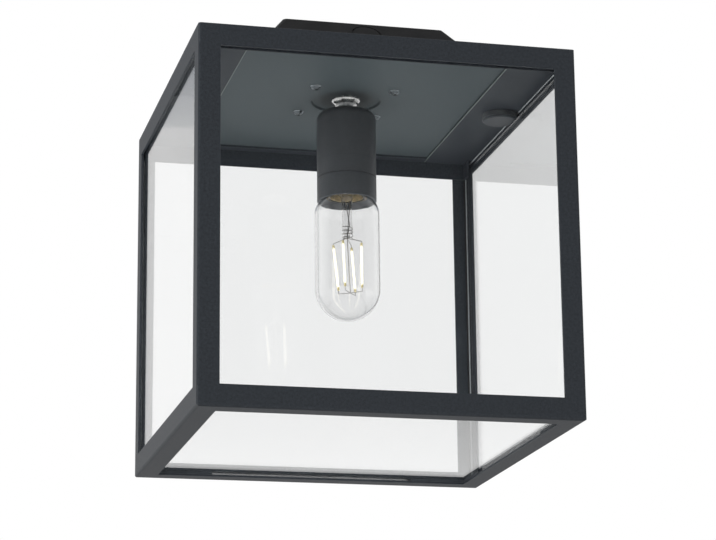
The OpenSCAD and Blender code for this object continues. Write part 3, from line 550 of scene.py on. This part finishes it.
def makeTurned():
    tree, given, out = newGrowth("turnedPart", [
        ("Around", "Int", 72), ("Along", "Int", 240), ("Place", "Vector", (0, 0, 0)),
        ("Thread Radius", "Float", 0.013), ("Thread Low", "Float", 0.0), ("Thread High", "Float", 0.0),
        ("Pitch", "Float", 0.0036), ("Depth", "Float", 0.0005), ("Shift", "Float", 0.0),
    ])
    outline = addNode(tree, "GeometryNodeMeshToCurve", None, Mesh=given["Geometry"]).outputs[0]
    grid = addNode(tree, "GeometryNodeMeshGrid", None, Size_X=1.0, Size_Y=1.0, Vertices_X=given["Around"],
                   Vertices_Y=given["Along"]).outputs[0]
    where = addNode(tree, "GeometryNodeInputPosition").outputs[0]
    spot = addNode(tree, "SeparateXYZ", None, Vector=where).outputs
    turn = plus(tree, spot[0], 0.5)
    along = plus(tree, spot[1], 0.5)
    sampled = addNode(tree, "GeometryNodeSampleCurve", {"mode": "FACTOR"}, Curves=outline, Factor=along)
    point = addNode(tree, "SeparateXYZ", None, Vector=sampled.outputs["Position"]).outputs
    radius, height = point[0], point[2]
    nearWall = ranged(tree, maths(tree, "ABSOLUTE", minus(tree, radius, given["Thread Radius"])),
                      turning["wallReach"], turning["wallFade"], 1.0, 0.0)
    above = ranged(tree, minus(tree, height, given["Thread Low"]), 0.0, turning["threadFade"], 0.0, 1.0)
    below = ranged(tree, minus(tree, given["Thread High"], height), 0.0, turning["threadFade"], 0.0, 1.0)
    zone = times(tree, nearWall, times(tree, above, below))
    phase = minus(tree, maths(tree, "DIVIDE", height, given["Pitch"]), turn)
    wave = times(tree, plus(tree, maths(tree, "COSINE", times(tree, phase, math.tau)), 1.0), 0.5)
    ridge = plus(tree, given["Shift"], times(tree, given["Depth"], wave))
    reach = plus(tree, radius, times(tree, ridge, zone))
    angle = times(tree, turn, math.tau)
    place = addNode(tree, "CombineXYZ", None, X=times(tree, reach, maths(tree, "COSINE", angle)),
                    Y=times(tree, reach, maths(tree, "SINE", angle)), Z=height).outputs[0]
    moved = addNode(tree, "VectorMath", {"operation": "ADD"}, i0=place, i1=given["Place"]).outputs[0]
    spun = addNode(tree, "GeometryNodeSetPosition", None, Geometry=grid, Position=moved).outputs[0]
    closed = addNode(tree, "GeometryNodeMergeByDistance", None, Geometry=spun,
                     Distance=weld["turned"]).outputs[0]
    return closeGrowth(tree, given, out, closed)


def makeRibs():
    tree, given, out = newGrowth("ribRing", [
        ("Count", "Int", 90), ("Radius", "Float", 0.0123), ("Rib", "Float", 0.0003),
        ("Height", "Float", 0.003), ("Place", "Vector", (0, 0, 0)),
    ])
    ring = addNode(tree, "GeometryNodeMeshCircle", None, Vertices=given["Count"],
                   Radius=given["Radius"]).outputs[0]
    rib = addNode(tree, "GeometryNodeMeshCylinder", None, Vertices=8, Radius=given["Rib"],
                  Depth=given["Height"]).outputs["Mesh"]
    ribs = addNode(tree, "GeometryNodeInstanceOnPoints", None, Points=ring, Instance=rib).outputs[0]
    moved = addNode(tree, "GeometryNodeTransform", None, Geometry=ribs,
                    Translation=given["Place"]).outputs[0]
    return closeGrowth(tree, given, out, moved, smooth=False)


def makeWound():
    tree, given, out = newGrowth("woundWire", [
        ("Turns", "Float", 3.0), ("Coil Radius", "Float", 0.0024), ("Wire Radius", "Float", 0.00025),
        ("Rise", "Float", 0.008), ("Place", "Vector", (0, 0, 0)),
    ])
    coil = addNode(tree, "GeometryNodeCurveSpiral", None, Resolution=28, Rotations=given["Turns"],
                   Start_Radius=given["Coil Radius"],
                   End_Radius=given["Coil Radius"], Height=given["Rise"]).outputs[0]
    ring = addNode(tree, "GeometryNodeCurvePrimitiveCircle", None, Resolution=8,
                   Radius=given["Wire Radius"]).outputs[0]
    wire = addNode(tree, "GeometryNodeCurveToMesh", None, Curve=coil, Profile_Curve=ring,
                   Fill_Caps=True).outputs[0]
    moved = addNode(tree, "GeometryNodeTransform", None, Geometry=wire,
                    Translation=given["Place"]).outputs[0]
    return closeGrowth(tree, given, out, moved)


rodAlong, turnedPart, ribRing, woundWire = makeRods(), makeTurned(), makeRibs(), makeWound()


def wireframe(name, lines):
    points, edges = [], []
    for line in lines:
        edges += [(len(points) + i, len(points) + i + 1) for i in range(len(line) - 1)]
        points += [tuple(point) for point in line]
    mesh = bpy.data.meshes.new(name)
    mesh.from_pydata(points, edges, [])
    return mesh


def grow(name, tree, values, material, body, source=None, stands=()):
    piece = bpy.data.objects.new(name, source or bpy.data.meshes.new(name))
    scene.collection.objects.link(piece)
    modifier = piece.modifiers.new("growth", "NODES")
    modifier.node_group = tree
    for socket in tree.interface.items_tree:
        if socket.in_out == "INPUT" and socket.name in values:
            modifier[socket.identifier] = values[socket.name]
        elif socket.in_out == "INPUT" and socket.name == "Material":
            modifier[socket.identifier] = look[material]
    graph = bpy.context.evaluated_depsgraph_get()
    mesh = bpy.data.meshes.new_from_object(piece.evaluated_get(graph))
    piece.modifiers.clear()
    made = bmesh.new()
    made.from_mesh(mesh)
    bmesh.ops.remove_doubles(made, verts=made.verts, dist=weld["grown"])
    bmesh.ops.recalc_face_normals(made, faces=made.faces)
    made.to_mesh(mesh)
    made.free()
    mesh.name = name
    piece.data = mesh
    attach(piece, body)
    if stands:
        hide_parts(*stands)
    print(name, len(mesh.polygons), "faces")
    return piece


def profileOf(name, points):
    return wireframe(name, [[(r, 0, z) for r, z in points + points[:1]]])


# Painted highlights: light rods where the strips fold down from the rails and where they end under the
# plate, coloured to stand for the light these bends and edges catch
highlightLines = {
    "foldRadius": 0.0004,
    "foldDrop": 0.00005,
    "bend": 0.0011,
    "edgeRadius": 0.0004,
    "edgeRise": 0.0003,
    "edgeOverrun": 0.005,
    "metal": 0.0015,
    "endGap": 0.0075,
    "knobGap": 0.0035,
}
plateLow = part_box("mounting_plate")[0].z
railLow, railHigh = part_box("top_rail_right")
shelfLow = plateLow - highlightLines["metal"]


def addStripHighlights(values):
    foldX, foldZ = railHigh.x - values["metal"] - values["bend"], shelfLow - values["foldDrop"]
    endY = railHigh.y - values["endGap"]
    folds = [[(sx * foldX, sy * values["knobGap"], foldZ), (sx * foldX, sy * endY, foldZ)]
             for sx in (-1, 1) for sy in (-1, 1)]
    edgeY, edgeZ = endY + values["edgeOverrun"], shelfLow + values["edgeRise"]
    edges = [[(sx * railLow.x, -edgeY, edgeZ), (sx * railLow.x, edgeY, edgeZ)] for sx in (-1, 1)]
    grow("stripFoldHighlights", rodAlong, {"Radius": values["foldRadius"], "Sides": 10}, "paintedHighlightCoat", "lantern_box",
         wireframe("foldLines", folds))
    grow("stripEdgeHighlights", rodAlong, {"Radius": values["edgeRadius"], "Sides": 10}, "hemHighlightCoat", "lantern_box",
         wireframe("edgeLines", edges))


addStripHighlights(highlightLines)


# Thumb screws with a threaded shank and a ribbed head
thumbScrew = {
    "chamfer": 0.001,
    "shank": 0.003,
    "point": 0.0006,
    "pitch": 0.001,
    "depth": 0.0004,
    "threadStart": 0.0025,
    "threadEnd": 0.0008,
    "ribs": 96,
    "ribRadius": 0.00028,
    "ribSink": 0.0001,
    "ribShort": 0.001,
    "ribRise": 0.0004,
}


def addThumbScrew(side, values):
    node = "thumb_screw_" + side
    low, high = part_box(node)
    centre = (low + high) / 2
    r, c = (high.x - low.x) / 2, values["chamfer"]
    shank, point = values["shank"], values["point"]
    outline = [(0, low.z), (r - c, low.z), (r, low.z + c), (r, shelfLow), (shank, shelfLow),
               (shank, high.z - point), (shank - point, high.z), (0, high.z)]
    sizes = {"Around": 97, "Along": 360, "Place": (centre.x, centre.y, 0), "Thread Radius": shank,
             "Thread Low": shelfLow + values["threadStart"], "Thread High": high.z - values["threadEnd"],
             "Pitch": values["pitch"], "Depth": values["depth"], "Shift": -values["depth"]}
    grow("thumbScrew" + side.capitalize(), turnedPart, sizes, "knobCoat", node,
         profileOf("thumbOutline", outline), (node,))
    ribHeight = shelfLow - low.z - c - values["ribShort"]
    ribPlace = (centre.x, centre.y, low.z + c + values["ribRise"] + ribHeight / 2)
    ribs = {"Count": values["ribs"], "Radius": r - values["ribSink"], "Rib": values["ribRadius"],
            "Height": ribHeight, "Place": ribPlace}
    grow("thumbRibs" + side.capitalize(), ribRing, ribs, "knobCoat", node)


addThumbScrew("left", thumbScrew)
addThumbScrew("right", thumbScrew)


# Rolled threads of the lamp cap and of the holder's shell
capValues = {
    "pitch": 0.0036,
    "depth": 0.0005,
    "wall": 0.00025,
    "shoulder": 0.0015,
    "innerShoulder": 0.0019,
    "crown": 0.0008,
    "threadSink": 0.0003,
    "threadStart": 0.0005,
    "threadEnd": 0.0022,
    "cementHeight": 0.009,
    "cementReach": 0.0005,
    "cementRise": 0.0003,
    "cementGap": 0.00002,
}
shellValues = {
    "pitch": capValues["pitch"],
    "depth": 0.0006,
    "clearance": 0.0001,
    "foot": 0.0015,
    "wall": 0.0005,
    "lipHeight": 0.0015,
    "threadReach": 0.0003,
    "threadStart": 0.003,
    "threadEnd": 0.004,
}
unthreaded = {"Thread Low": 1.0, "Thread High": 0.9, "Depth": 0.0}


def addLampCap(values):
    low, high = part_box("lamp_cap")
    r = (high.x - low.x) / 2
    inside = r - values["wall"]
    shoulder, inner, crown = values["shoulder"], values["innerShoulder"], values["crown"]
    outline = [(inside, low.z), (r, low.z), (r, high.z - shoulder), (r - shoulder, high.z), (0, high.z),
               (0, high.z - crown), (r - inner, high.z - crown), (inside, high.z - inner)]
    top = low.z + values["cementHeight"]
    sizes = {"Around": 97, "Along": 300, "Thread Radius": r - values["threadSink"],
             "Thread Low": top + values["threadStart"], "Thread High": high.z - values["threadEnd"],
             "Pitch": values["pitch"], "Depth": values["depth"], "Shift": -values["depth"]}
    grow("lampCap", turnedPart, sizes, "zinc", "lamp", profileOf("capOutline", outline), ("lamp_cap",))
    core, skin, base = r - values["cementReach"], inside - values["cementGap"], low.z + values["cementRise"]
    ring = [(core, base), (skin, base), (skin, top), (core, top)]
    grow("capCement", turnedPart, {"Around": 97, "Along": 80, **unthreaded}, "cement", "lamp",
         profileOf("cementOutline", ring))


def addHolderShell(values):
    low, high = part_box("holder_shell")
    capLow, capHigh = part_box("lamp_cap")
    bore = (capHigh.x - capLow.x) / 2 + values["clearance"]
    lip, foot, wall = (high.x - low.x) / 2, bore + values["foot"], values["wall"]
    flare = low.z + values["lipHeight"]
    outline = [(bore, flare), (bore, high.z), (foot, high.z), (foot, high.z - wall),
               (bore + wall, high.z - wall), (bore + wall, flare), (lip, low.z + wall), (lip, low.z)]
    sizes = {"Around": 97, "Along": 300, "Thread Radius": bore + values["threadReach"],
             "Thread Low": low.z + values["threadStart"], "Thread High": high.z - values["threadEnd"],
             "Pitch": values["pitch"], "Depth": values["depth"], "Shift": 0.0}
    grow("holderShell", turnedPart, sizes, "brass", "ceiling", profileOf("shellOutline", outline),
         ("holder_shell",))


addLampCap(capValues)
addHolderShell(shellValues)


# Painted highlight: a light line round the rim of the lampholder's skirt
skirtRimHighlight = {"points": 96, "inset": 0.0006, "rise": 0.0003, "radius": 0.00025}


def addSkirtRimHighlight(values):
    low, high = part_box("holder_skirt")
    r, z = (high.x - low.x) / 2 - values["inset"], low.z + values["rise"]
    turns = [math.tau * k / values["points"] for k in range(values["points"] + 1)]
    line = wireframe("rimLine", [[(r * math.cos(a), r * math.sin(a), z) for a in turns]])
    grow("skirtRimHighlight", rodAlong, {"Radius": values["radius"], "Sides": 8}, "rimHighlightCoat", "ceiling", line)


addSkirtRimHighlight(skirtRimHighlight)


# Filaments, their wires and the wound leads
filaments = {
    "count": 4,
    "turn": -30.4,
    "twist": -6.0,
    "topRadius": 0.0100,
    "lowRadius": 0.0087,
    "lean": 0.0018,
    "drop": 0.0012,
    "stick": 0.0008,
    "wire": 0.00026,
    "hook": 0.0028,
    "hookShare": 0.9,
    "ringDrop": 0.0012,
    "wireRise": 0.0012,
    "wireSink": 0.0004,
    "leadBends": (0.0018, 0.0008),
    "leadEnds": (-0.0012, 0.0022),
    "leadLevels": (0.010, 0.026),
}
coilValues = {"turns": 3.5, "radius": 0.0036, "wire": 0.00025, "rise": 0.0085, "aside": 0.0003,
              "drop": 0.0018}
filamentLow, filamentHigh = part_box("lamp_filaments")
stickLow, stickHigh = filamentLow.z - filaments["drop"], filamentHigh.z
look["filamentGlow"] = glowMaterial("filamentGlow", stickLow, stickHigh, glow)
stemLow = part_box("lamp_stem")[0].z


def addFilaments(values):
    tops, lows = [], []
    wide, narrow, lean = values["topRadius"], values["lowRadius"], values["lean"]
    for k in range(values["count"]):
        angle = math.radians(values["turn"] + 360 * k / values["count"])
        tops.append(Vector((wide * math.cos(angle), wide * math.sin(angle), stickHigh)))
        angle += math.radians(values["twist"])
        lows.append(Vector((narrow * math.cos(angle) + lean, narrow * math.sin(angle), stickLow)))
    sticks = wireframe("stickLines", [[a, b] for a, b in zip(tops, lows)])
    grow("filamentSticks", rodAlong, {"Radius": values["stick"], "Sides": 14}, "filamentGlow", "lamp",
         sticks, ("lamp_filaments",))
    upper = Vector((0, 0, stemLow - values["ringDrop"]))
    lower = Vector((lean, 0, stickLow - values["hook"]))
    hook = Vector((0, 0, -values["hook"])) * values["hookShare"]
    rise, sink = Vector((0, 0, values["wireRise"])), Vector((0, 0, values["wireSink"]))
    wires = [[upper, a + rise, a - sink] for a in tops]
    wires += [[b + sink, b + hook, lower] for b in lows]
    wires.append([upper, lower])
    near, far = values["leadLevels"]
    for bend, end in zip(values["leadBends"], values["leadEnds"]):
        wires.append([upper, upper + Vector((bend, 0, near)), upper + Vector((end, 0, far))])
    grow("filamentWires", rodAlong, {"Radius": values["wire"], "Sides": 8}, "wireMetal", "lamp",
         wireframe("wireLines", wires), ("lamp_wires",))


def addLeadCoil(values):
    coil = {"Turns": values["turns"], "Coil Radius": values["radius"], "Wire Radius": values["wire"],
            "Rise": values["rise"], "Place": (values["aside"], 0, stemLow - values["drop"])}
    grow("leadCoil", woundWire, coil, "wireMetal", "lamp")


addFilaments(filaments)
addLeadCoil(coilValues)


# Hollow glass stem that carries the leads
glassStem = {"radius": 0.0034, "tip": 0.0016, "tipHeight": 0.004, "lip": 0.001, "flareHeight": 0.007,
             "neckHeight": 0.012, "wall": 0.0004}


def addStem(values):
    low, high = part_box("lamp_stem")
    wide, wall = (high.x - low.x) / 2, values["wall"]
    outer = [(0, low.z), (values["tip"], low.z), (values["radius"], low.z + values["tipHeight"]),
             (values["radius"], high.z - values["neckHeight"]),
             (values["radius"] + values["tip"], high.z - values["flareHeight"]),
             (wide, high.z - values["lip"]), (wide, high.z)]
    inner = [(max(r - wall, 0), z) for r, z in reversed(outer)]
    inner[-2:] = [(values["tip"] - wall, low.z + wall), (0, low.z + wall)]
    grow("stemTube", turnedPart, {"Around": 49, "Along": 500, **unthreaded}, "lampGlass", "lamp",
         profileOf("stemOutline", outer + inner), ("lamp_stem",))


addStem(glassStem)


# Keepers over the panes, the one at the back a little deeper than its solid
keepers = {"backDrop": 0.0023, "edgeReach": 0.0001}


def addKeepers(values):
    made = bmesh.new()
    made.from_mesh(nodes["top_keepers"].data)
    bmesh.ops.remove_doubles(made, verts=made.verts, dist=weld["cad"])
    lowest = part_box("top_keepers")[0].z
    for point in made.verts:
        if point.co.y > 0 and point.co.z < lowest + values["edgeReach"]:
            point.co.z -= values["backDrop"]
    mesh = bpy.data.meshes.new("keeperStrips")
    made.to_mesh(mesh)
    made.free()
    mesh.materials.clear()
    mesh.materials.append(look["frameCoat"])
    piece = bpy.data.objects.new("keeperStrips", mesh)
    scene.collection.objects.link(piece)
    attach(piece, "lantern_box")
    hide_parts("top_keepers")


addKeepers(keepers)


# Dark sealant where two panes meet, with a light rod beside it as a painted highlight of the glass edge
cornerBeads = {"radius": 0.0009, "inset": 0.0063, "edgeRadius": 0.0003, "edgeAside": 0.0011,
               "topGap": 0.0063}


def addCornerBeads(values):
    reach = railHigh.x - values["inset"]
    side = reach + values["radius"] - values["edgeRadius"]
    back = reach - values["edgeAside"]
    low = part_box("pane_floor")[1].z
    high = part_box("pane_right")[1].z - values["topGap"]
    corners = [(sx, sy) for sx in (-1, 1) for sy in (-1, 1)]
    beads = [[(sx * reach, sy * reach, low), (sx * reach, sy * reach, high)] for sx, sy in corners]
    edges = [[(sx * side, sy * back, low), (sx * side, sy * back, high)] for sx, sy in corners]
    grow("cornerBeads", rodAlong, {"Radius": values["radius"], "Sides": 12}, "rubber", "lantern_box",
         wireframe("beadLines", beads))
    grow("paneEdgeHighlights", rodAlong, {"Radius": values["edgeRadius"], "Sides": 8}, "paintedHighlightCoat", "lantern_box",
         wireframe("paneEdgeLines", edges))


addCornerBeads(cornerBeads)
print("grown pieces done")


# Studio: pale floor, soft lamps and a white surround. Mirrored rays see it grey overhead and dark
# behind the camera.
studio = {
    "floorZ": -1.05,
    "floorSize": 14.0,
    "floorColour": (0.86, 0.86, 0.86),
    "floorMottle": 0.96,
    "floorGrain": 3.0,
    "floorRoughness": 0.9,
    "floorGloss": 0.1,
    "farStart": 1.5,
    "farEnd": 5.0,
    "ambient": 0.55,
    "surround": (0.94, 0.94, 0.94),
    "behind": (0.03, 0.03, 0.03),
    "overhead": (0.48, 0.50, 0.53),
    "cardLow": 0.3120,
    "cardStep": 0.002,
    "cardShare": 0.4,
    "cardHigh": 0.335,
    "behindEnd": -0.25,
    "sideStart": 0.1,
}


def directRays(tree, path):
    bent = maths(tree, "MAXIMUM", path["Is Glossy Ray"], path["Is Transmission Ray"])
    return maths(tree, "MAXIMUM", path["Is Camera Ray"], bent)


def addWorld(values):
    world = bpy.data.worlds.new("studio")
    scene.world = world
    world.use_nodes = True
    tree = world.node_tree
    tree.nodes.clear()
    out = tree.nodes.new("ShaderNodeOutputWorld")
    way = addNode(tree, "TexCoord").outputs["Generated"]
    parts = addNode(tree, "SeparateXYZ", None, Vector=way).outputs
    low, high, share = values["cardLow"], values["cardHigh"], values["cardShare"]
    step = low + values["cardStep"]
    up = plus(tree, ranged(tree, parts[2], low, step, 0.0, share),
              ranged(tree, parts[2], step, high, 0.0, 1.0 - share))
    back = ranged(tree, parts[1], values["behindEnd"], values["sideStart"], 0.0, 1.0)
    side = mixColour(tree, up, values["surround"], values["overhead"])
    mirrored = mixColour(tree, back, values["behind"], side)
    path = addNode(tree, "LightPath").outputs
    bounced = maths(tree, "GREATER_THAN", path["Glossy Depth"], 0.5)
    shown = mixColour(tree, bounced, (1.0, 1.0, 1.0), mirrored)
    direct = directRays(tree, path)
    plain = maths(tree, "LESS_THAN", path["Diffuse Depth"], 0.5)
    seen = times(tree, direct, plain)
    grey = (values["ambient"],) * 3
    colour = mixColour(tree, seen, grey, shown)
    backdrop = addNode(tree, "Background", None, Color=colour, Strength=1.0)
    tree.links.new(backdrop.outputs[0], out.inputs[0])
    world.cycles.sampling_method = "NONE"


def addFloor(values):
    size = values["floorSize"]
    mesh = bpy.data.meshes.new("floor")
    corners = [(x * size, y * size, values["floorZ"]) for x, y in ((-1, -1), (1, -1), (1, 1), (-1, 1))]
    mesh.from_pydata(corners, [], [(0, 1, 2, 3)])
    floor = bpy.data.objects.new("floor", mesh)
    scene.collection.objects.link(floor)
    material, tree, shader, out = newMaterial("paleFloor")
    place = objectPlace(tree)
    noise = noiseAt(tree, place, values["floorGrain"], 4.0)
    darker = tuple(values["floorMottle"] * c for c in values["floorColour"])
    shade = mixColour(tree, ranged(tree, noise, 0.3, 0.7, 0.0, 1.0), values["floorColour"], darker)
    tree.links.new(shade, shader.inputs["Base Color"])
    shader.inputs["Roughness"].default_value = values["floorRoughness"]
    shader.inputs["Specular IOR Level"].default_value = values["floorGloss"]
    flat = addNode(tree, "VectorMath", {"operation": "MULTIPLY"}, i0=place, i1=(1, 1, 0)).outputs[0]
    reach = addNode(tree, "VectorMath", {"operation": "LENGTH"}, i0=flat).outputs["Value"]
    far = ranged(tree, reach, values["farStart"], values["farEnd"], 0.0, 1.0)
    path = addNode(tree, "LightPath").outputs
    direct = directRays(tree, path)
    glow = addNode(tree, "Emission", None, Color=(1.0, 1.0, 1.0), Strength=1.0)
    mixed = addNode(tree, "MixShader", None, i0=times(tree, far, direct), i1=shader.outputs[0],
                    i2=glow.outputs[0])
    # seen from below, the floor lets the view through
    clear = addNode(tree, "BsdfTransparent")
    below = addNode(tree, "NewGeometry").outputs["Backfacing"]
    oneSided = addNode(tree, "MixShader", None, i0=below, i1=mixed.outputs[0], i2=clear.outputs[0])
    tree.links.new(oneSided.outputs[0], out.inputs[0])
    mesh.materials.append(material)


# The lamps light the object and aren't seen by mirrored or transmitted rays
lamps = [
    {"name": "keyLamp", "place": (-2.4, -1.5, 0.3), "size": 1.6, "watts": 38.0},
    {"name": "fillLamp", "place": (2.2, -2.0, -0.2), "size": 1.4, "watts": 10.0},
    {"name": "panelLamp", "place": (0.0, 0.0, -0.2835), "size": 0.16, "watts": 0.45},
]


def addLamps(rows, target):
    for row in rows:
        data = bpy.data.lights.new(row["name"], "AREA")
        data.shape = "SQUARE"
        data.size = row["size"]
        data.energy = row["watts"]
        lamp = bpy.data.objects.new(row["name"], data)
        lamp.location = row["place"]
        lamp.rotation_euler = (Vector(target) - lamp.location).to_track_quat("-Z", "Y").to_euler()
        lamp.visible_camera = False
        lamp.visible_glossy = False
        lamp.visible_transmission = False
        scene.collection.objects.link(lamp)


addWorld(studio)
addFloor(studio)
addLamps(lamps, (0, 0, -0.15))
print("studio set")
